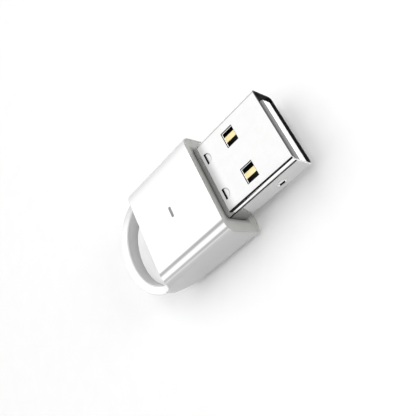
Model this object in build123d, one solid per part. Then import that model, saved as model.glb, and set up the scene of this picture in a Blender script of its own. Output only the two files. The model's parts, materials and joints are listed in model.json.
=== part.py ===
"""Wireless audio receiver stick.

A moulded sleeve with a strap loop at its back holds a small circuit board. A cap closes
the front of the sleeve round a USB-A plug. X points to the plug's tip, Y to the left and
Z up. The origin is under the middle of the whole length, on the flat underside.
All sizes are in millimetres.
"""
import os
from build123d import *

# ---- driving dimensions ---------------------------------------------------------
LENGTH = 34.4            # plug tip to the back of the strap loop
BODY_W, BODY_H = 16.5, 7.95
TOP_R, BOTTOM_R = 1.7, 2.0          # long upper edges; the whole lower edge, loop included
TOP_LEN = 13.8           # flat top, from the front face to its straight rear edge
WALL = 1.2               # sleeve wall
REAR_WALL = 1.3          # sleeve wall at the rear edge of the top

PLUG_W, PLUG_H = 12.0, 4.5          # standard USB-A plug
PLUG_OUT = 12.3          # length that stands out of the body
PLUG_Z = 4.4             # height of the plug's middle
SHEET = 0.3              # shell sheet
SHELL_R = 0.55           # outer corner of the rolled shell
SHELL_LEN = 16.4
SHELL_LIP_R = 0.1        # edges of the shell's mouth
SEAM_W, SEAM_DEPTH = 0.06, 0.08     # groove where the rolled sheet meets itself, underneath
KEY_X, KEY_L, KEY_W = (3.4, 9.0), 1.3, 1.5  # keys that lock the seam: places from the tip, and size
KEY_FLARE = 0.25         # a key's free end is wider than its neck by this on each side

LOOP_SIDE, LOOP_BACK = 1.25, 1.7    # band of the strap loop, at its sides and back
LOOP_START = 0.75        # loop's ellipse centre, behind the rear edge of the top
HOLE_R, RIM_R = 0.6, 0.22           # corners of the strap hole, and its soft rims
BAND_TOP, BAND_BOTTOM = 5.15, 2.75  # band heights at the very back
SCOOP_LEN, SCOOP_LOW = 3.0, 5.35    # hollow between the rear edge of the top and the band
RISE_START, RISE_LEN = 2.3, 8.05    # underside's rise: start ahead of that edge, and length
RISE_TURN = 0.47         # share of the rise where its curve turns over

BOARD_T = 0.8
BOARD_TOP = 3.65
BOARD_LEN, BOARD_W = 7.85, 13.9
BOARD_CORNER, BOARD_GAP = 0.4, 0.15 # its corners, and the gap behind it
FIT = 0.05               # gap between pieces that slide together

# ---- worked out from them ---------------------------------------------------------
TIP_X = LENGTH / 2
BACK_X = -LENGTH / 2
FRONT_X = TIP_X - PLUG_OUT
EDGE_X = FRONT_X - TOP_LEN
LOOP_X = EDGE_X - LOOP_START
CAVITY_X = EDGE_X + REAR_WALL
CAVITY_W, CAVITY_H = BODY_W - 2 * WALL, BODY_H - 2 * WALL
SHELL_X = TIP_X - SHELL_LEN
BOARD_X = CAVITY_X + BOARD_GAP      # rear edge of the board
BOARD_BOTTOM = BOARD_TOP - BOARD_T
FRONT_EDGE_X = BOARD_X + BOARD_LEN  # front edge of the board

# ---- smaller features -------------------------------------------------------------
CAP_T, CAP_LIP = 1.4, 0.25          # cap plate, and the sleeve lip round it
CAP_EDGE_R = 0.12
LEG_T, LEG_H, LEG_LEN = 0.7, 3.0, 2.9
BARB, BARB_L, BARB_H = 0.3, 0.8, 2.0    # snap barb on each leg
BARB_BACK = 0.3          # barb, ahead of the leg's end
RAIL_W = 0.8             # ledges that carry the board
WINDOW_X = FRONT_X - 7.1            # indicator window in the top
WINDOW_L, WINDOW_W = 1.75, 0.5
FLANGE, FLANGE_T = 0.4, 0.5         # light bar's flange round the window, under the top wall

LOCK_X0, LOCK_X1 = 5.12, 7.1        # lock windows of the shell, from its tip
LOCK_Y0, LOCK_Y1 = 1.93, 4.27
LANCE_X, LANCE_Y, LANCE_LEN, LANCE_R = 11.0, 3.05, 0.95, 0.85
LANCE_DEPTH, LANCE_SLOPE = 0.2, 7   # floor of the ramp under the top at its cut, and its angle
LANCE_CUT = (-0.1, 0.08)            # the cut through the sheet, along X from LANCE_X
SLOT_X, SLOT_Z, SLOT_L, SLOT_H = 4.2, -0.45, 1.5, 0.95

TONGUE_SET_BACK = 0.4    # tongue front, behind the shell's tip
TONGUE_W, TONGUE_T = 10.6, 1.85
NOSE_LEN, NOSE_EDGE = 4.9, 0.25     # light front of the tongue, and its chamfered upper edge
BLOCK_X = TIP_X - 9.4    # front of the block that fills the shell
CONTACT_W, CONTACT_T = 1.0, 0.2
CONTACT_TOP = PLUG_Z     # height of the contacts' upper faces
CONTACT_LEAD, CONTACT_DROP = 0.3, 0.12  # sloping front end of each contact
TAIL_LEN, CONTACT_BACK = 1.5, 0.1   # tail on the board, and its bend behind the board's front edge
CONTACTS = {             # name: (Y where it mates, Y under the windows, set back of its front end)
    "contact_power": (-3.5, -4.6, 1.3),
    "contact_data_minus": (-1.0, -1.9, 2.2),
    "contact_data_plus": (1.0, 1.9, 2.2),
    "contact_ground": (3.5, 4.6, 1.3),
}
FAN_X0, FAN_X1 = 5.0, 6.1           # where the contacts spread apart, from the shell's tip
FAN_BACK = 9.9           # where they come together again, inside the block
FAN_W = 0.8              # width of a contact where it lies spread
TAB_LEN, TAB_H = 2.4, 1.3           # shell tabs that solder into the board
TAB_LEG = 1.0            # length of the leg that goes through the board
TAB_GAP, TAB_THROUGH = 0.15, 0.4    # tab above the board, and its leg below it

WEDGE_L, WEDGE_W = 0.35, 0.8        # solder behind each contact's tail
BEAD, BEAD_H = 0.2, 0.3             # solder round each shell tab

PAD_X0, PAD_X1, PAD_W = -6.4, -2.4, 4.4
CHIP_R = 0.12            # upright corners of the moulded packages
LED_H = 0.65
CAPACITOR, RESISTOR = (0.5, 1.0, 0.5), (0.5, 1.0, 0.35)
CAPACITOR_PLACES = [(-2.1, -2.3), (-2.1, -3.7), (-2.1, -5.1), (-2.1, 2.2), (-6.6, -4.6), (-6.9, 1.9)]
RESISTOR_PLACES = [(-2.1, 3.6), (-2.1, 5.0), (-4.7, 5.2), (-7.0, -6.0)]


# ---- helpers ----------------------------------------------------------------------
def block(x0, x1, y0, y1, z0, z1):
    """A box between two corners."""
    middle = ((x0 + x1) / 2, (y0 + y1) / 2, (z0 + z1) / 2)
    return Pos(*middle) * Box(abs(x1 - x0), abs(y1 - y0), abs(z1 - z0))


def along_x(face, x0, x1, z=0.0):
    """Extrude a face drawn in Y and Z from x0 to x1, with its middle at height z."""
    return extrude(Plane((x0, 0, z), (0, 1, 0), (1, 0, 0)) * face, x1 - x0)


def body_section(inset=0.0):
    """The body's rounded section, drawn in from its outline by inset."""
    face = Rectangle(BODY_W - 2 * inset, BODY_H - 2 * inset)
    face = fillet(face.vertices().group_by(Axis.Y)[-1], TOP_R - inset)
    return fillet(face.vertices().group_by(Axis.Y)[0], BOTTOM_R - inset)


def shell_section(inset=0.0):
    """The plug's rounded section, drawn in by inset."""
    return RectangleRounded(PLUG_W - 2 * inset, PLUG_H - 2 * inset, max(SHELL_R - inset, 0.2))


def mirror_y(shape):
    """The shape and its copy across the middle plane."""
    return shape + mirror(shape, Plane.XZ)


def half_ellipse(depth, half_width):
    """The loop's plan: the half of an ellipse behind LOOP_X."""
    whole = Pos(LOOP_X, 0) * Ellipse(depth, half_width)
    return whole & (Pos(LOOP_X - depth, 0) * Rectangle(2 * depth, 2 * half_width))


# ---- housing ----------------------------------------------------------------------
def outer_plan():
    straight = Pos((FRONT_X + LOOP_X) / 2, 0) * Rectangle(FRONT_X - LOOP_X, BODY_W)
    return straight + half_ellipse(LOOP_X - BACK_X, BODY_W / 2)


def side_profile():
    """Flat top, hollow above the band, thin band, and the underside that rises to it."""
    edge, hollow = (EDGE_X, BODY_H), (EDGE_X - SCOOP_LEN, SCOOP_LOW)
    rise = (EDGE_X + RISE_START, 0)
    turn = (rise[0] - RISE_TURN * RISE_LEN, RISE_TURN * BAND_BOTTOM)
    risen = (rise[0] - RISE_LEN, BAND_BOTTOM)
    band_top = Line((BACK_X, BAND_TOP), hollow)
    edges = [
        Line(rise, (FRONT_X, 0)),
        Line((FRONT_X, 0), (FRONT_X, BODY_H)),
        Line((FRONT_X, BODY_H), edge),
        TangentArc(hollow, edge, tangent=band_top % 1),
        band_top,
        Line((BACK_X, BAND_BOTTOM), (BACK_X, BAND_TOP)),
        Line(risen, (BACK_X, BAND_BOTTOM)),
        TangentArc(risen, turn, tangent=(1, 0)),
        TangentArc(rise, turn, tangent=(-1, 0)),
    ]
    return make_face(edges)


def over_wire(edge, wire, top):
    """Whether an edge's middle lies over a wire of the plan and no higher than top."""
    point = edge @ 0.5
    return point.Z < top and wire.distance_to(Vertex(point.X, point.Y, 0)) < 0.01


def sleeve_outside():
    section = Rectangle(BODY_W, BODY_H)
    section = fillet(section.vertices().group_by(Axis.Y)[-1], TOP_R)
    solid = along_x(section, BACK_X, FRONT_X, BODY_H / 2)
    solid &= extrude(outer_plan(), BODY_H)
    solid &= extrude(Plane.XZ * side_profile(), BODY_W, both=True)
    outline = outer_plan().wire()
    low = [e for e in solid.edges() if over_wire(e, outline, BAND_BOTTOM + 0.1)]
    return fillet([e for e in low if (e @ 0.5).X < FRONT_X - 0.1], BOTTOM_R)


def hole_plan():
    hole = half_ellipse(LOOP_X - BACK_X - LOOP_BACK, BODY_W / 2 - LOOP_SIDE)
    return fillet(hole.vertices(), HOLE_R)


def sleeve_with_loop():
    """The outside with the strap hole, its rims softened."""
    solid = sleeve_outside() - extrude(hole_plan(), BODY_H)
    upper = [f for f in solid.faces() if f.center().X < EDGE_X and f.normal_at().Z > 0.3]
    edges = [e for f in upper for e in f.edges()]
    rim = [e for e in edges if edges.count(e) == 1]
    inside = hole_plan().wire()
    rim += [e for e in solid.edges() if over_wire(e, inside, BAND_BOTTOM + 0.1)]
    return fillet(rim, RIM_R)


def snap_legs(grow=0.0):
    """The cap's two side legs with their barbs, or the room for the barbs."""
    outer = CAVITY_W / 2 - FIT
    x0 = FRONT_X - CAP_T - LEG_LEN
    leg = block(x0, FRONT_X - CAP_T, outer - LEG_T, outer, PLUG_Z - LEG_H / 2, PLUG_Z + LEG_H / 2)
    start, end = x0 + BARB_BACK - grow, x0 + BARB_BACK + BARB_L + grow
    half = BARB_H / 2 + grow
    barb = block(start, end, outer, outer + BARB + grow, PLUG_Z - half, PLUG_Z + half)
    return mirror_y(leg), mirror_y(barb)


def housing_sleeve():
    solid = sleeve_with_loop()
    cavity = Rectangle(CAVITY_W, CAVITY_H)
    cavity = fillet(cavity.vertices().group_by(Axis.Y)[-1], TOP_R - WALL)
    cavity = fillet(cavity.vertices().group_by(Axis.Y)[0], BOTTOM_R - WALL)
    solid -= along_x(cavity, CAVITY_X, FRONT_X, BODY_H / 2)
    solid -= along_x(body_section(CAP_LIP), FRONT_X - CAP_T, FRONT_X, BODY_H / 2)
    solid -= snap_legs(FIT)[1]
    solid -= window_pill(WINDOW_L, WINDOW_W, BODY_H - 2 * WALL, BODY_H)
    rail_y = CAVITY_W / 2
    rail = block(CAVITY_X, FRONT_EDGE_X, rail_y - RAIL_W, rail_y + 0.1, WALL - 0.1, BOARD_BOTTOM)
    return solid + mirror_y(rail)


def front_cap():
    plate = along_x(body_section(CAP_LIP), FRONT_X - CAP_T, FRONT_X, BODY_H / 2)
    rim = plate.faces().sort_by(Axis.X)[-1].edges()
    plate = fillet(rim, CAP_EDGE_R)
    legs, barbs = snap_legs()
    cap = plate + legs + barbs
    return cap - along_x(shell_section(-FIT), FRONT_X - CAP_T - LEG_LEN, FRONT_X, PLUG_Z)


def window_pill(length, width, z0, z1):
    """An upright pill, long in Y, at the indicator window."""
    pill = Rot(0, 0, 90) * SlotOverall(length, width)
    return extrude(Pos(WINDOW_X, 0, z0) * pill, z1 - z0)


def light_pipe():
    """Clear bar from the indicator up to the window, with a flange under the top wall."""
    under_top = BODY_H - WALL
    pipe = window_pill(WINDOW_L, WINDOW_W, under_top, BODY_H)
    pipe += window_pill(WINDOW_L + 2 * FLANGE, WINDOW_W + 2 * FLANGE, under_top - FLANGE_T, under_top)
    return pipe + window_pill(WINDOW_L, WINDOW_W + 0.3, BOARD_TOP + LED_H + 0.1, under_top - FLANGE_T)


# ---- plug -------------------------------------------------------------------------
def lock_windows():
    """Openings of the shell, over the contacts and again underneath."""
    x0, x1 = TIP_X - LOCK_X1, TIP_X - LOCK_X0
    return mirror_y(block(x0, x1, LOCK_Y0, LOCK_Y1, PLUG_Z - PLUG_H, PLUG_Z + PLUG_H))


def lances():
    """Half-moon stampings near the body: a cut along the straight side, a ramp before it."""
    x, top = TIP_X - LANCE_X, PLUG_Z + PLUG_H / 2
    half = Pos(LANCE_LEN / 2, 0) * Rectangle(LANCE_LEN, 2 * LANCE_R)
    half = half & SlotOverall(2 * LANCE_LEN, 2 * LANCE_R)
    ramp = Pos(x, LANCE_Y, top - LANCE_DEPTH) * Rot(0, -LANCE_SLOPE, 0) * extrude(half, 1)
    x0, x1 = x + LANCE_CUT[0], x + LANCE_CUT[1]
    cut = block(x0, x1, LANCE_Y - LANCE_R, LANCE_Y + LANCE_R, PLUG_Z, top + SHEET)
    return mirror_y(ramp + cut)


def side_slots():
    """Oval openings in the shell's side walls."""
    plane = Plane((TIP_X - SLOT_X, 0, PLUG_Z + SLOT_Z), (1, 0, 0), (0, -1, 0))
    return extrude(plane * SlotOverall(SLOT_L, SLOT_H), PLUG_W, both=True)


def shell_tab():
    """Tab of the left side wall: back over the board, then down through it."""
    y1 = PLUG_W / 2
    y0 = y1 - SHEET
    z = BOARD_TOP + TAB_GAP
    tab = block(SHELL_X - TAB_LEN, SHELL_X, y0, y1, z, z + TAB_H)
    leg = block(SHELL_X - TAB_LEN, SHELL_X - TAB_LEN + TAB_LEG, y0, y1, BOARD_BOTTOM - TAB_THROUGH, z)
    return tab + leg


def seam_groove():
    """Groove under the shell where its edges meet, stepping out round each flared key."""
    points = [(TIP_X, 0)]
    for x in KEY_X:
        near, far = TIP_X - x, TIP_X - x - KEY_L
        points += [(near, 0), (near + KEY_FLARE, KEY_W), (far - KEY_FLARE, KEY_W), (far, 0)]
    line = trace(Polyline(*points, (SHELL_X, 0)), SEAM_W)
    return extrude(Pos(0, 0, PLUG_Z - PLUG_H / 2 - SHEET) * line, SHEET + SEAM_DEPTH)


def plug_shell():
    shell = along_x(shell_section(), SHELL_X, TIP_X, PLUG_Z)
    shell -= along_x(shell_section(SHEET), SHELL_X, TIP_X, PLUG_Z)
    lip = shell.faces().sort_by(Axis.X)[-1].edges()
    shell = fillet(lip, SHELL_LIP_R)
    shell -= lock_windows() + lances() + side_slots()
    return shell - seam_groove() + mirror_y(shell_tab())


def tongue_box(x0, x1):
    z0 = PLUG_Z - PLUG_H / 2 + SHEET
    return block(x0, x1, -TONGUE_W / 2, TONGUE_W / 2, z0, z0 + TONGUE_T)


def tongue_nose():
    """Light front of the tongue, with a soft leading edge."""
    front = TIP_X - TONGUE_SET_BACK
    nose = tongue_box(front - NOSE_LEN, front)
    lead = nose.faces().sort_by(Axis.X)[-1].edges()
    nose = chamfer(lead.group_by(Axis.Z)[-1], NOSE_EDGE)
    return nose - all_contacts()


def contact_carrier():
    """Dark rear of the tongue and the block behind it that fills the shell."""
    tongue = tongue_box(BLOCK_X, TIP_X - TONGUE_SET_BACK - NOSE_LEN)
    back = along_x(shell_section(SHEET + 0.03), SHELL_X + 0.2, BLOCK_X, PLUG_Z)
    return tongue + back - all_contacts()


def contact_plan(y, fan_y, set_back):
    """The strip seen from above: it mates at y and steps out to fan_y under the windows."""
    half, fan_half = CONTACT_W / 2, FAN_W / 2
    rows = [
        (TIP_X - set_back, y, half),
        (TIP_X - FAN_X0, y, half),
        (TIP_X - FAN_X1, fan_y, fan_half),
        (TIP_X - FAN_BACK, fan_y, fan_half),
        (TIP_X - FAN_BACK - FAN_X1 + FAN_X0, y, half),
        (SHELL_X - TAB_LEN, y, half),
    ]
    left = [(x, middle + w) for x, middle, w in rows]
    right = [(x, middle - w) for x, middle, w in reversed(rows)]
    return make_face(Polyline(*left, *right, close=True))


def contact(y, fan_y, set_back):
    """Flat spring strip: along the tongue, down behind the plug, then flat on the board."""
    front, bend = TIP_X - set_back, FRONT_EDGE_X - CONTACT_BACK
    low = BOARD_TOP + CONTACT_T
    outline = [
        (front, CONTACT_TOP - CONTACT_T),
        (front, CONTACT_TOP - CONTACT_DROP),
        (front - CONTACT_LEAD, CONTACT_TOP),
        (bend, CONTACT_TOP),
        (bend, low),
        (bend - TAIL_LEN, low),
        (bend - TAIL_LEN, BOARD_TOP),
        (bend + CONTACT_T, BOARD_TOP),
        (bend + CONTACT_T, CONTACT_TOP - CONTACT_T),
    ]
    face = make_face(Polyline(*outline, close=True))
    sheet = extrude(Plane.XZ * face, PLUG_W / 2, both=True)
    return sheet & extrude(contact_plan(y, fan_y, set_back), BODY_H)


def all_contacts():
    strips = [contact(*place) for place in CONTACTS.values()]
    return strips[0] + strips[1:]


# ---- board ------------------------------------------------------------------------
def circuit_board():
    board = block(BOARD_X, FRONT_EDGE_X, -BOARD_W / 2, BOARD_W / 2, BOARD_BOTTOM, BOARD_TOP)
    board = fillet(board.edges().filter_by(Axis.Z), BOARD_CORNER)
    x = SHELL_X - TAB_LEN
    y = PLUG_W / 2
    slot = block(x - FIT, x + TAB_LEG + FIT, y - SHEET - FIT, y + FIT, 0, BODY_H)
    return board - mirror_y(slot)


def on_top(x, y, length, width, height):
    """A part that lies on the board: place, size along X and Y, and height."""
    z = BOARD_TOP
    return block(x - length / 2, x + length / 2, y - width / 2, y + width / 2, z, z + height)


def below(x, y, length, width, height):
    """A part that hangs under the board."""
    z = BOARD_BOTTOM
    return block(x - length / 2, x + length / 2, y - width / 2, y + width / 2, z - height, z)


def chip(body, radius=CHIP_R):
    """Moulded part with soft upright corners."""
    return fillet(body.edges().filter_by(Axis.Z), radius)


def row(size, places):
    """Small two-ended parts on top of the board, as one group of separate solids."""
    return Compound(children=[on_top(x, y, *size) for x, y in places])


def contact_solder():
    """A small wedge of solder behind each contact's tail."""
    x = FRONT_EDGE_X - CONTACT_BACK - TAIL_LEN
    outline = [(x, BOARD_TOP), (x, BOARD_TOP + CONTACT_T), (x - WEDGE_L, BOARD_TOP)]
    face = make_face(Polyline(*outline, close=True))
    wedge = extrude(Plane.XZ * face, WEDGE_W / 2, both=True)
    return Compound(children=[Pos(0, place[0], 0) * wedge for place in CONTACTS.values()])


def shell_solder():
    """A bead of solder round each shell tab, on the underside of the board."""
    x = SHELL_X - TAB_LEN + TAB_LEG / 2
    y = (PLUG_W - SHEET) / 2
    bead = Pos(x, y, BOARD_BOTTOM - BEAD_H / 2) * Box(TAB_LEG + 2 * BEAD, SHEET + 2 * BEAD, BEAD_H)
    bead = chamfer(bead.faces().sort_by(Axis.Z)[0].edges(), BEAD_H / 2)
    bead -= block(x - TAB_LEG / 2, x + TAB_LEG / 2, y - SHEET / 2, y + SHEET / 2, 0, BODY_H)
    return Compound(children=[*bead.solids(), *mirror(bead, Plane.XZ).solids()])


def board_parts():
    """Everything soldered to the board, by node name."""
    return {
        "radio_chip": chip(on_top(-5.2, -1.0, 4.0, 4.0, 0.85)),
        "memory_chip": chip(on_top(-4.1, 2.6, 2.0, 2.6, 0.6)),
        "crystal": chip(on_top(-4.1, -4.6, 2.5, 2.0, 0.6), 0.25),
        "chip_antenna": chip(on_top(-6.5, 4.3, 1.6, 3.2, 1.0), 0.1),
        "status_led": chip(on_top(WINDOW_X, 0, 0.8, 1.6, LED_H), 0.15),
        "voltage_regulator": chip(below(-4.6, 4.4, 2.9, 1.6, 1.1)),
        "power_inductor": chip(below(-4.9, -4.6, 2.5, 2.0, 1.0), 0.3),
        "surge_array": chip(below(-1.4, 3.4, 1.3, 2.1, 0.9)),
        "reset_fuse": chip(below(-1.4, -3.4, 1.6, 0.8, 0.6), 0.08),
        "capacitors": row(CAPACITOR, CAPACITOR_PLACES),
        "resistors": row(RESISTOR, RESISTOR_PLACES),
        "contact_solder": contact_solder(),
        "shell_solder": shell_solder(),
    }


def board_pad():
    """Foam pad that holds the board up off the sleeve's floor."""
    return block(PAD_X0, PAD_X1, -PAD_W / 2, PAD_W / 2, WALL, BOARD_BOTTOM)


# ---- write ------------------------------------------------------------------------
def nodes():
    parts = {
        "housing_sleeve": housing_sleeve(),
        "front_cap": front_cap(),
        "light_pipe": light_pipe(),
        "plug_shell": plug_shell(),
        "tongue_nose": tongue_nose(),
        "contact_carrier": contact_carrier(),
        "circuit_board": circuit_board(),
        "board_pad": board_pad(),
    }
    parts.update({name: contact(*place) for name, place in CONTACTS.items()})
    parts.update(board_parts())
    return parts


os.makedirs("parts", exist_ok=True)
for name, shape in nodes().items():
    export_step(shape, f"parts/{name}.step")
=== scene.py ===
"""Looks for the wireless audio receiver stick: materials, floor, light and camera.

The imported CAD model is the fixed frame, in metres: +X points to the plug's tip, +Z is up.
Every visible piece is a CAD node, so this script only paints them and sets the stage.
"""
import json

import bpy
from mathutils import Matrix, Vector

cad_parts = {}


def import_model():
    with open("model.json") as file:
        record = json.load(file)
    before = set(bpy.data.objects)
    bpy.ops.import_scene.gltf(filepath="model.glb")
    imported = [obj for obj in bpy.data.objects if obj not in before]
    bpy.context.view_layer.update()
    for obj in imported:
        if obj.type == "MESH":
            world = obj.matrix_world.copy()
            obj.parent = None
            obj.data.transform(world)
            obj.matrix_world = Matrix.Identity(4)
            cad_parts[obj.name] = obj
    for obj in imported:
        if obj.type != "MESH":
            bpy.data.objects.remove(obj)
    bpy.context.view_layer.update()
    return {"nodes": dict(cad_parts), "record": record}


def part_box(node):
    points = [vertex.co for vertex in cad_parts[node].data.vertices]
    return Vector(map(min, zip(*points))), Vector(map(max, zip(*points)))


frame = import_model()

MM = 0.001


# ---- places on the object, in millimetres ------------------------------------------
def corners(node):
    """A node's lowest and highest corners."""
    return [Vector(corner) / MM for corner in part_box(node)]


SLEEVE_LOW, SLEEVE_HIGH = corners("housing_sleeve")
FRONT_X = SLEEVE_HIGH.x
SLEEVE_HALF_W = SLEEVE_HIGH.y
SLEEVE_ROUND = 1.7                      # upper long edges of the sleeve
TOP_END_X = FRONT_X - 13.8              # straight rear edge of the flat top
SIDE_END_X = TOP_END_X - 2.1            # where the sleeve's plain sides end
HOLE_X = TOP_END_X - 0.75               # middle of the ellipse that the loop's opening follows
LOOP_SIDE, LOOP_BACK = 1.25, 1.7        # width of the loop's band

SHELL_HIGH = corners("plug_shell")[1]
TIP_X = SHELL_HIGH.x
PLUG_HALF_W, PLUG_HALF_H = SHELL_HIGH.y, 2.25
PLUG_Z = SHELL_HIGH.z - PLUG_HALF_H     # middle of the plug
SHEET = 0.3                             # shell sheet
SHELL_ROUND = 0.55                      # outer corner of the shell
WINDOW_X = (TIP_X - 7.1, TIP_X - 5.12)  # lock windows
WINDOW_Y = (1.93, 4.27)
WINDOW_RIM = 0.07                       # dark outline round each of them
RIM_DEPTH = 0.13                        # how far down their walls it goes
LANCE_X, LANCE_Y, LANCE_R = TIP_X - 10.9, 3.05, 0.85    # half-moon stampings


# ---- node helpers ------------------------------------------------------------------
def grey(tone):
    return (tone, tone, tone)


class Shader:
    """A material under construction, with short calls for the nodes that it uses."""

    def __init__(self, name):
        self.material = bpy.data.materials.new(name)
        self.material.use_nodes = True
        self.tree = self.material.node_tree
        self.surface = self.tree.nodes["Principled BSDF"]
        self.where = self.tree.nodes.new("ShaderNodeTexCoord").outputs["Object"]

    def put(self, socket, source):
        """Joins a source to a socket; a plain number or colour is set on it."""
        if isinstance(source, bpy.types.NodeSocket):
            self.tree.links.new(source, socket)
        elif source is not None:
            socket.default_value = source

    def wire(self, **sources):
        """Feeds the shader's sockets: base_color goes to Base Color, coat_ior to Coat IOR."""
        for name, source in sources.items():
            socket = name.replace("_", " ").title().replace("Ior", "IOR")
            self.put(self.surface.inputs[socket], source)
        return self.material

    def math(self, operation, a, b=None):
        node = self.tree.nodes.new("ShaderNodeMath")
        node.operation = operation
        for socket, source in zip(node.inputs, (a, b)):
            self.put(socket, source)
        return node.outputs[0]

    def times(self, a, b):
        return self.math("MULTIPLY", a, b)

    def plus(self, a, b):
        return self.math("ADD", a, b)

    def minus(self, a, b):
        return self.math("SUBTRACT", a, b)

    def most(self, a, b):
        return self.math("MAXIMUM", a, b)

    def size(self, a):
        return self.math("ABSOLUTE", a)

    def scaled(self, scale):
        """Object coordinates times a scale per axis, in cells per millimetre."""
        node = self.tree.nodes.new("ShaderNodeVectorMath")
        node.operation = "MULTIPLY"
        self.put(node.inputs[0], self.where)
        node.inputs[1].default_value = [s / MM for s in scale]
        return node.outputs[0]

    def noise(self, scale, detail=3.0):
        node = self.tree.nodes.new("ShaderNodeTexNoise")
        node.inputs["Scale"].default_value = 1.0
        node.inputs["Detail"].default_value = detail
        node.inputs["Roughness"].default_value = 0.55
        self.put(node.inputs["Vector"], self.scaled(scale))
        return node.outputs["Fac"]

    def cells(self, scale, feature="F1"):
        node = self.tree.nodes.new("ShaderNodeTexVoronoi")
        node.feature = feature
        node.inputs["Scale"].default_value = 1.0
        self.put(node.inputs["Vector"], self.scaled(scale))
        return node.outputs["Distance"]

    def remap(self, value, low, high, to_low, to_high):
        """A smooth step from to_low, where value is low, to to_high, where it is high."""
        node = self.tree.nodes.new("ShaderNodeMapRange")
        node.interpolation_type = "SMOOTHSTEP"
        for socket, number in zip(list(node.inputs)[1:5], (low, high, to_low, to_high)):
            socket.default_value = number
        self.put(node.inputs[0], value)
        return node.outputs[0]

    def spread(self, noise, to_low=0, to_high=1):
        """Stretches the range that a noise mostly stays in."""
        return self.remap(noise, 0.3, 0.7, to_low, to_high)

    def band(self, value, low, high, soft):
        """1 where value is between low and high, with soft ends."""
        above = self.remap(value, low - soft, low, 0, 1)
        return self.times(above, self.remap(value, high, high + soft, 1, 0))

    def axis(self, name, source=None):
        """One axis of a vector, or of the place in millimetres."""
        node = self.tree.nodes.new("ShaderNodeSeparateXYZ")
        self.put(node.inputs[0], source or self.scaled((1, 1, 1)))
        return node.outputs[name]

    def normal(self, name):
        """One axis of the direction that the surface faces, in the object's own frame."""
        node = self.tree.nodes.new("ShaderNodeNewGeometry")
        turn = self.tree.nodes.new("ShaderNodeVectorTransform")
        turn.vector_type = "NORMAL"
        turn.convert_from = "WORLD"
        turn.convert_to = "OBJECT"
        self.put(turn.inputs[0], node.outputs["Normal"])
        return self.axis(name, turn.outputs[0])

    def beside_plug(self):
        """How far a place lies outside the plug's section, in millimetres."""
        y = self.minus(self.size(self.axis("Y")), PLUG_HALF_W)
        z = self.minus(self.size(self.minus(self.axis("Z"), PLUG_Z)), PLUG_HALF_H)
        return self.most(y, z)

    def lance_arc(self, x, side, height):
        """The shaded rounded end of each lance's ramp, as a factor."""
        across = self.minus(side, LANCE_Y)
        along = self.minus(x, LANCE_X)
        square = self.plus(self.times(across, across), self.times(along, along))
        reach = self.math("SQRT", square)
        ring = self.band(reach, LANCE_R - 0.2, LANCE_R, 0.04)
        ring = self.times(ring, self.remap(along, 0.15, 0.4, 0, 0.42))
        return self.times(ring, self.remap(height, PLUG_HALF_H - 0.3, PLUG_HALF_H - 0.25, 0, 1))

    def mix(self, factor, a, b):
        """From colour a, where the factor is 0, to colour b."""
        node = self.tree.nodes.new("ShaderNodeMix")
        node.data_type = "RGBA"
        self.put(node.inputs["Factor"], factor)
        for socket, colour in zip(list(node.inputs)[6:8], (a, b)):
            self.put(socket, colour if isinstance(colour, bpy.types.NodeSocket) else (*colour, 1))
        return node.outputs[2]

    def bump(self, height, strength, depth, under=None):
        """Raises the surface by height times depth in millimetres."""
        node = self.tree.nodes.new("ShaderNodeBump")
        node.inputs["Strength"].default_value = strength
        node.inputs["Distance"].default_value = depth * MM
        self.put(node.inputs["Height"], height)
        self.put(node.inputs["Normal"], under)
        return node.outputs[0]


# ---- materials ---------------------------------------------------------------------
def white_shell():
    """Pearly white moulding: a soft grain under a clear glossy skin, with painted shade on its long
    sides.
    """
    s = Shader("white_moulding")
    s.wire(metallic=0.08, ior=1.5, coat_weight=0.5, coat_roughness=0.06, coat_ior=1.5)
    broad = s.noise((0.12, 0.2, 0.2), 2.0)
    grain = s.noise((9, 9, 9), 5.0)
    colour = s.mix(s.spread(broad), grey(0.94), (0.96, 0.96, 0.955))

    # painted shade on the long sides, and a painted dark reflection line where they turn over into
    # the top
    body = s.remap(s.axis("X"), SIDE_END_X - 0.6, SIDE_END_X, 0, 1)
    turned = s.times(s.size(s.normal("Y")), body)
    colour = s.mix(s.remap(turned, 0.62, 0.8, 0, 1), colour, grey(0.56))
    colour = s.mix(s.times(s.band(turned, 0.56, 0.64, 0.1), 0.8), colour, grey(0.36))

    # a painted dark reflection line along the right edge of the flat top
    edge_y = SLEEVE_HALF_W - SLEEVE_ROUND
    line = s.band(s.times(s.axis("Y"), -1.0), edge_y - 0.10, edge_y + 0.06, 0.38)
    line = s.times(line, s.remap(s.normal("Z"), 0.9, 0.97, 0, 0.75))
    colour = s.mix(s.times(line, body), colour, grey(0.2))

    # painted shade on the far edge and side, and on the top close to the far edge
    far = s.remap(s.normal("Y"), 0.05, 0.7, 0, 1)
    far = s.most(far, s.remap(s.axis("Y"), 4.2, 8.0, 0, 0.8))
    colour = s.mix(far, colour, grey(0.58))

    # the loop: painted shade on its outer face, and painted shade on its inner wall, darker towards
    # the table
    in_loop = s.remap(s.axis("X"), SIDE_END_X, SIDE_END_X + 0.3, 1, 0)
    back = s.times(s.remap(s.normal("X"), -0.75, -0.15, 1, 0), in_loop)
    colour = s.mix(back, colour, grey(0.72))
    hollow = s.times(s.remap(s.normal("X"), 0.1, 0.6, 0, 1), in_loop)
    deep = s.mix(s.remap(s.axis("Z"), 0.5, 4.6, 0, 1), grey(0.12), grey(0.74))
    colour = s.mix(hollow, colour, deep)

    # the front edge round the cap
    ring = s.times(s.remap(s.normal("X"), 0.6, 0.9, 0, 1), body)
    colour = s.mix(ring, colour, (0.50, 0.50, 0.48))
    return s.wire(base_color=colour, roughness=s.spread(grain, 0.20, 0.27),
                  normal=s.bump(grain, 0.25, 0.0012))


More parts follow.
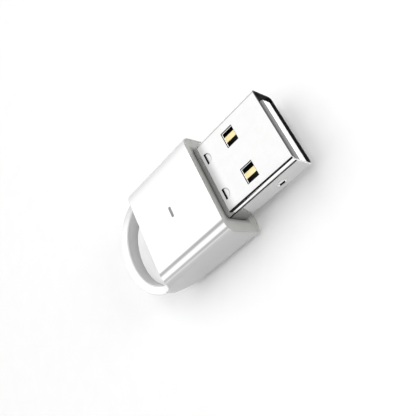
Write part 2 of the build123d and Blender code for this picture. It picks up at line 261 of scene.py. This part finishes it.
def cap_grey():
    """Light warm grey moulding with a fine eroded texture, with painted shade close to the plug."""
    s = Shader("cap_moulding")
    pits = s.cells((11, 11, 11))
    grain = s.noise((16, 16, 16), 3.0)
    height = s.plus(pits, s.times(grain, 0.6))
    broad = s.noise((0.4, 0.4, 0.4), 2.0)
    colour = s.mix(s.spread(broad), (0.45, 0.45, 0.43), (0.49, 0.49, 0.47))
    # painted shade on the cap, darkest right beside the plug
    colour = s.mix(s.remap(s.beside_plug(), 0.0, 0.7, 0.62, 0), colour, grey(0.07))
    return s.wire(base_color=colour, roughness=s.spread(grain, 0.42, 0.55),
                  normal=s.bump(height, 0.4, 0.006))


def plug_steel():
    """Nickel-plated sheet: faint rolling lines along X; painted shade at the mouth, inside, round
    the windows, on its sides and near the body, painted dark reflection lines along the sides, and
    painted light on the window walls.
    """
    s = Shader("nickel_plate")
    # painted light: only the window walls glow, through emission_color at the end
    s.wire(ior=1.5, emission_strength=0.55)
    lines = s.noise((0.25, 14, 14), 3.0)
    spots = s.noise((0.8, 0.8, 0.8), 3.0)
    x, y, z = s.axis("X"), s.axis("Y"), s.minus(s.axis("Z"), PLUG_Z)
    side, height = s.size(y), s.size(z)
    facing_y, facing_z = s.size(s.normal("Y")), s.size(s.normal("Z"))

    # painted shade: the sheared edge at the mouth, except on the near side, and the inside of the
    # shell
    edge = s.times(s.remap(s.normal("X"), 0.5, 0.8, 0, 1),
                   s.remap(y, 0.35 - PLUG_HALF_W, 0.6 - PLUG_HALF_W, 0, 1))
    in_width, in_height = (
        s.remap(reach, half - SHEET + 0.02, half - SHEET + 0.08, 1, 0)
        for reach, half in ((side, PLUG_HALF_W), (height, PLUG_HALF_H)))
    dark = s.most(edge, s.times(in_width, in_height))

    # the lock windows: a painted dark outline, and upright walls below it made bright with painted
    # light
    near_window = s.times(
        s.band(x, WINDOW_X[0] - WINDOW_RIM, WINDOW_X[1] + 0.02, 0.02),
        s.band(side, WINDOW_Y[0] - WINDOW_RIM, WINDOW_Y[1] + WINDOW_RIM, 0.02))
    rim_low = PLUG_HALF_H - RIM_DEPTH
    rim = s.times(near_window, s.remap(height, rim_low, rim_low + 0.02, 0, 1))
    upright = s.remap(facing_z, 0.3, 0.5, 1, 0)
    walls = s.times(s.times(near_window, upright),
                    s.band(height, PLUG_HALF_H - SHEET + 0.03, rim_low, 0.02))
    not_walls = s.minus(1.0, walls)
    dark = s.times(s.most(dark, rim), not_walls)

    # a painted dark reflection line along the side, where the rolled corner ends
    side_dark_line_z = PLUG_HALF_H - SHELL_ROUND
    side_dark_line = s.band(z, side_dark_line_z - 0.16, side_dark_line_z + 0.14, 0.08)
    dark = s.most(dark, s.times(side_dark_line, s.remap(facing_y, 0.82, 0.92, 0, 0.95)))

    # the plate itself, with painted shade on its sides, close to the body and on the lances' rounded
    # ends
    junction = s.remap(x, FRONT_X + 0.8, FRONT_X + 2.4, 0.45, 0)
    colour = s.mix(s.spread(spots), (0.92, 0.92, 0.915), grey(0.94))
    colour = s.mix(s.remap(facing_y, 0.9, 0.98, 0, 1), colour, grey(0.66))
    colour = s.mix(s.most(junction, s.lance_arc(x, side, z)), colour, grey(0.05))
    colour = s.mix(dark, colour, (0.012, 0.012, 0.013))
    return s.wire(base_color=colour, metallic=not_walls,
                  roughness=s.plus(s.spread(lines, 0.03, 0.07), s.times(dark, 0.35)),
                  normal=s.bump(lines, 0.06, 0.0008),
                  emission_color=s.mix(walls, grey(0), grey(1)))


def contact_gold():
    """Gold-plated spring strip with a faint wipe mark along its length, glowing with painted light.
    """
    s = Shader("gold_plate")
    # painted light: the strip glows gold
    s.wire(metallic=0.3, emission_color=(1.0, 0.86, 0.48, 1), emission_strength=0.85)
    wipe = s.noise((0.4, 9, 9), 3.0)
    colour = s.mix(s.spread(wipe), (0.86, 0.72, 0.36), (0.95, 0.84, 0.50))
    return s.wire(base_color=colour, roughness=s.spread(wipe, 0.22, 0.38),
                  normal=s.bump(wipe, 0.2, 0.002))


def tongue_white():
    """White moulding of the tongue, with painted shade on the contact face inside the shell, and a
    glow of painted light, brighter on its flanks.
    """
    s = Shader("connector_white")
    # painted light: the tongue glows, least on its contact face and most on its flanks
    s.wire(emission_strength=1.0)
    grain = s.noise((12, 12, 12), 4.0)
    broad = s.noise((0.5, 0.5, 0.5), 2.0)
    colour = s.mix(s.spread(broad), (0.9, 0.9, 0.89), (0.95, 0.95, 0.94))
    contact_face = s.remap(s.normal("Z"), 0.2, 0.5, 0, 1)
    flank = s.remap(s.size(s.normal("Y")), 0.5, 0.9, 0, 1)
    painted_glow = s.mix(flank, grey(0.35), grey(0.8))
    # painted shade on the contact face inside the shell
    return s.wire(base_color=s.mix(contact_face, colour, grey(0.2)),
                  emission_color=s.mix(contact_face, painted_glow, grey(0.1)),
                  roughness=s.spread(grain, 0.35, 0.5), normal=s.bump(grain, 0.3, 0.003))


def clear_bar():
    """Smoky bar with a frosted outer face; the real one is translucent, drawn opaque here."""
    s = Shader("light_bar")
    s.wire(ior=1.2)
    frost = s.noise((12, 12, 12), 4.0)
    broad = s.noise((1.2, 1.2, 1.2), 2.0)
    colour = s.mix(s.spread(broad), (0.22, 0.22, 0.225), (0.27, 0.27, 0.275))
    return s.wire(base_color=colour, roughness=s.spread(frost, 0.3, 0.42),
                  normal=s.bump(frost, 0.3, 0.003))


def board_green():
    """Solder mask over a woven glass board, with raised copper tracks."""
    s = Shader("solder_mask")
    s.wire(coat_weight=0.3, coat_roughness=0.12)
    weave = s.times(s.noise((2, 14, 2), 2.0), s.noise((14, 2, 2), 2.0))
    tracks = s.remap(s.cells((0.9, 0.9, 0.2), "DISTANCE_TO_EDGE"), 0.05, 0.09, 1, 0)
    flat = s.mix(s.remap(weave, 0.15, 0.35, 0, 1), (0.010, 0.075, 0.035), (0.016, 0.105, 0.05))
    return s.wire(base_color=s.mix(tracks, flat, (0.035, 0.19, 0.085)),
                  roughness=s.remap(weave, 0.15, 0.35, 0.3, 0.4),
                  normal=s.bump(tracks, 0.6, 0.03, s.bump(weave, 0.2, 0.004)))


def foam():
    """Dark foam with closed cells."""
    s = Shader("closed_cell_foam")
    cells = s.cells((5, 5, 5))
    colour = s.mix(s.remap(cells, 0.1, 0.6, 0, 1), grey(0.012), grey(0.04))
    return s.wire(base_color=colour, roughness=s.remap(cells, 0.1, 0.6, 0.95, 0.8),
                  normal=s.bump(cells, 0.8, 0.05))


def speckled(name, dark, light, grain, rough, metallic=0.0):
    """A fine-grained surface whose tone and gloss vary a little from place to place."""
    s = Shader(name)
    s.wire(metallic=metallic)
    broad = s.noise((0.35, 0.35, 0.35), 2.0)
    fine = s.noise((grain, grain, grain), 4.0)
    colour = s.mix(s.remap(broad, 0.35, 0.65, 0, 1), dark, light)
    return s.wire(base_color=colour, roughness=s.spread(fine, *rough),
                  normal=s.bump(fine, 0.5, 0.004))


# slot: material's name, dark tone, light tone, grains per millimetre, roughness, metallic
SPECKLED = {
    "carrier_black": ("connector_black", grey(0.008), grey(0.016), 12, (0.4, 0.55)),
    "chip_black": ("mould_compound", (0.012, 0.012, 0.013), (0.025, 0.025, 0.026), 14, (0.5, 0.7)),
    "crystal_can": ("drawn_lid", (0.55, 0.54, 0.52), (0.68, 0.67, 0.65), 9, (0.2, 0.32), 1.0),
    "antenna_ceramic": ("white_ceramic", (0.74, 0.75, 0.72), (0.84, 0.85, 0.82), 12, (0.4, 0.6)),
    "led": ("indicator_resin", (0.8, 0.78, 0.62), (0.9, 0.88, 0.74), 10, (0.15, 0.25)),
    "ferrite": ("ferrite", (0.03, 0.03, 0.032), (0.06, 0.06, 0.062), 10, (0.5, 0.7)),
    "fuse_green": ("fuse_coating", (0.02, 0.09, 0.03), (0.035, 0.13, 0.05), 10, (0.35, 0.5)),
    "capacitor_tan": ("tan_ceramic", (0.30, 0.19, 0.10), (0.42, 0.28, 0.16), 10, (0.4, 0.55)),
    "resistor_black": ("resistor_film", (0.012, 0.012, 0.013), (0.03, 0.03, 0.032), 10, (0.3, 0.45)),
    "solder": ("solder", (0.6, 0.6, 0.62), (0.76, 0.76, 0.78), 6, (0.15, 0.3), 1.0),
}
MATERIALS = {
    "white_shell": white_shell(),
    "cap_grey": cap_grey(),
    "plug_steel": plug_steel(),
    "contact_gold": contact_gold(),
    "clear_bar": clear_bar(),
    "board": board_green(),
    "foam": foam(),
    "tongue_white": tongue_white(),
    **{slot: speckled(*row) for slot, row in SPECKLED.items()},
}


def paint_nodes():
    """Every CAD node takes the material of its slot in the record."""
    for part in frame["record"]["subparts"]:
        for place in frame["nodes"][part["node"]].material_slots:
            place.material = MATERIALS[part["material_slot"]]


# ---- stage, in metres --------------------------------------------------------------
FLOOR_HALF = 1.5
SURROUND_LIGHT, SURROUND_REFLECTED = 0.24, 0.66     # how bright the surroundings are
LAMPS = (           # name, place, aim, disc's diameter, watts
    ("key", (-0.06, 0.085, 0.38), (0, 0, 0), 0.75, 2.36),
    ("on_axis", (0.175, -0.156, 0.272), (0.01, 0, 0), 0.05, 0.20),
    ("front", (0.30, -0.02, 0.10), (0.01, 0, 0.003), 0.12, 0.26),
)
CARDS = (           # name, middle, half side across, half side up, brightness
    ("flag_low", (-0.265, -0.37, 0.33), (0.06, 0, 0), (0, 0, 0.07), 0.02),
    ("white_top", (-0.30, 0.36, 0.50), (0.30, 0, 0), (0, 0.16, 0), 1.05),
    ("flag", (-0.21, -0.02, 0.40), (0.11, 0, 0), (0, 0.22, 0), 0.02),
    ("flag_end", (-0.262, -0.305, 0.40), (0.047, 0, 0), (0, 0.065, 0), 0.02),
    ("white_side", (-0.45, -0.50, 0.45), (0.35, 0, 0), (0, 0, 0.45), 1.15),
)
FOCAL_LENGTH, SENSOR_WIDTH = 45.69, 36              # in millimetres
EYE = Vector((TIP_X + 21.202, -34.570, PLUG_Z + 56.726)) * MM
RIGHT = Vector((0.64223, -0.40177, -0.65278)).normalized()
AHEAD = Vector((-0.49117, 0.43810, -0.75287)).normalized()


def plane(name, centre, across, up, material):
    """A rectangle about a point, with half sides across and up."""
    mesh = bpy.data.meshes.new(name)
    rim = [centre - across - up, centre + across - up, centre + across + up, centre - across + up]
    mesh.from_pydata(rim, [], [(0, 1, 2, 3)])
    mesh.materials.append(material)
    sheet = bpy.data.objects.new(name, mesh)
    bpy.context.scene.collection.objects.link(sheet)
    return sheet


def floor():
    """Pale paper, shaded inside the strap loop."""
    s = Shader("floor_paper")
    grain = s.noise((0.3, 0.3, 0.3), 3.0)
    colour = s.mix(s.spread(grain), grey(0.83), grey(0.84))
    depth = HOLE_X - SLEEVE_LOW.x - LOOP_BACK
    x = s.math("DIVIDE", s.minus(s.axis("X"), HOLE_X), depth)
    y = s.math("DIVIDE", s.axis("Y"), SLEEVE_HALF_W - LOOP_SIDE)
    reach = s.plus(s.times(x, x), s.times(y, y))
    shade = s.times(s.remap(reach, 0.8, 1.25, 1, 0),
                    s.remap(s.axis("X"), HOLE_X, HOLE_X + 1.5, 1, 0))
    paper = s.wire(base_color=s.mix(shade, colour, grey(0.52)), roughness=0.9,
                   specular_ior_level=0.0)
    across, up = Vector((FLOOR_HALF, 0, 0)), Vector((0, FLOOR_HALF, 0))
    plane("floor", Vector((0, 0, 0)), across, up, paper)


def glow(name, strength):
    """Plain white light of its own."""
    material = bpy.data.materials.new(name)
    material.use_nodes = True
    tree = material.node_tree
    tree.nodes.clear()
    light = tree.nodes.new("ShaderNodeEmission")
    light.inputs["Strength"].default_value = strength
    light.inputs["Color"].default_value = (1, 1, 1, 1)
    out = tree.nodes.new("ShaderNodeOutputMaterial")
    tree.links.new(light.outputs[0], out.inputs[0])
    return material


def card(name, centre, across, up, strength):
    """A card seen only in reflections, about a point, with half sides across and up."""
    sheet = plane(name, Vector(centre), Vector(across), Vector(up), glow(name, strength))
    for kind in ("camera", "diffuse", "shadow", "transmission", "volume_scatter"):
        setattr(sheet, "visible_" + kind, False)


def lamp(name, place, aim, size, power):
    """A disc of light that isn't seen in reflections."""
    data = bpy.data.lights.new(name, "AREA")
    data.shape = "DISK"
    data.size = size
    data.energy = power
    light = bpy.data.objects.new(name, data)
    light.location = place
    light.rotation_mode = "QUATERNION"
    light.rotation_quaternion = (Vector(aim) - Vector(place)).to_track_quat("-Z", "Y")
    light.visible_glossy = False
    bpy.context.scene.collection.objects.link(light)


def world(strength, reflected):
    """Even white surroundings, brighter in reflections than as light."""
    scene = bpy.context.scene
    scene.world = bpy.data.worlds.new("studio")
    scene.world.use_nodes = True
    tree = scene.world.node_tree
    path = tree.nodes.new("ShaderNodeLightPath")
    level = tree.nodes.new("ShaderNodeMapRange")
    level.inputs["To Min"].default_value = strength
    level.inputs["To Max"].default_value = reflected
    tree.links.new(path.outputs["Is Glossy Ray"], level.inputs["Value"])
    back = tree.nodes["Background"]
    back.inputs["Color"].default_value = (1, 1, 1, 1)
    tree.links.new(level.outputs[0], back.inputs["Strength"])


def camera():
    """Looks down at the plug's right side from in front of its tip, and rolled."""
    data = bpy.data.cameras.new("camera")
    data.lens = FOCAL_LENGTH
    data.sensor_width = SENSOR_WIDTH
    data.clip_start, data.clip_end = 0.001, 10
    turn = Matrix((RIGHT, RIGHT.cross(AHEAD), -AHEAD)).transposed()
    view = bpy.data.objects.new("camera", data)
    view.matrix_world = Matrix.Translation(EYE) @ turn.to_4x4()
    bpy.context.scene.collection.objects.link(view)
    bpy.context.scene.camera = view


paint_nodes()
camera()
floor()
world(SURROUND_LIGHT, SURROUND_REFLECTED)
for row in LAMPS:
    lamp(*row)
for row in CARDS:
    card(*row)
bpy.context.scene.view_settings.view_transform = "Standard"
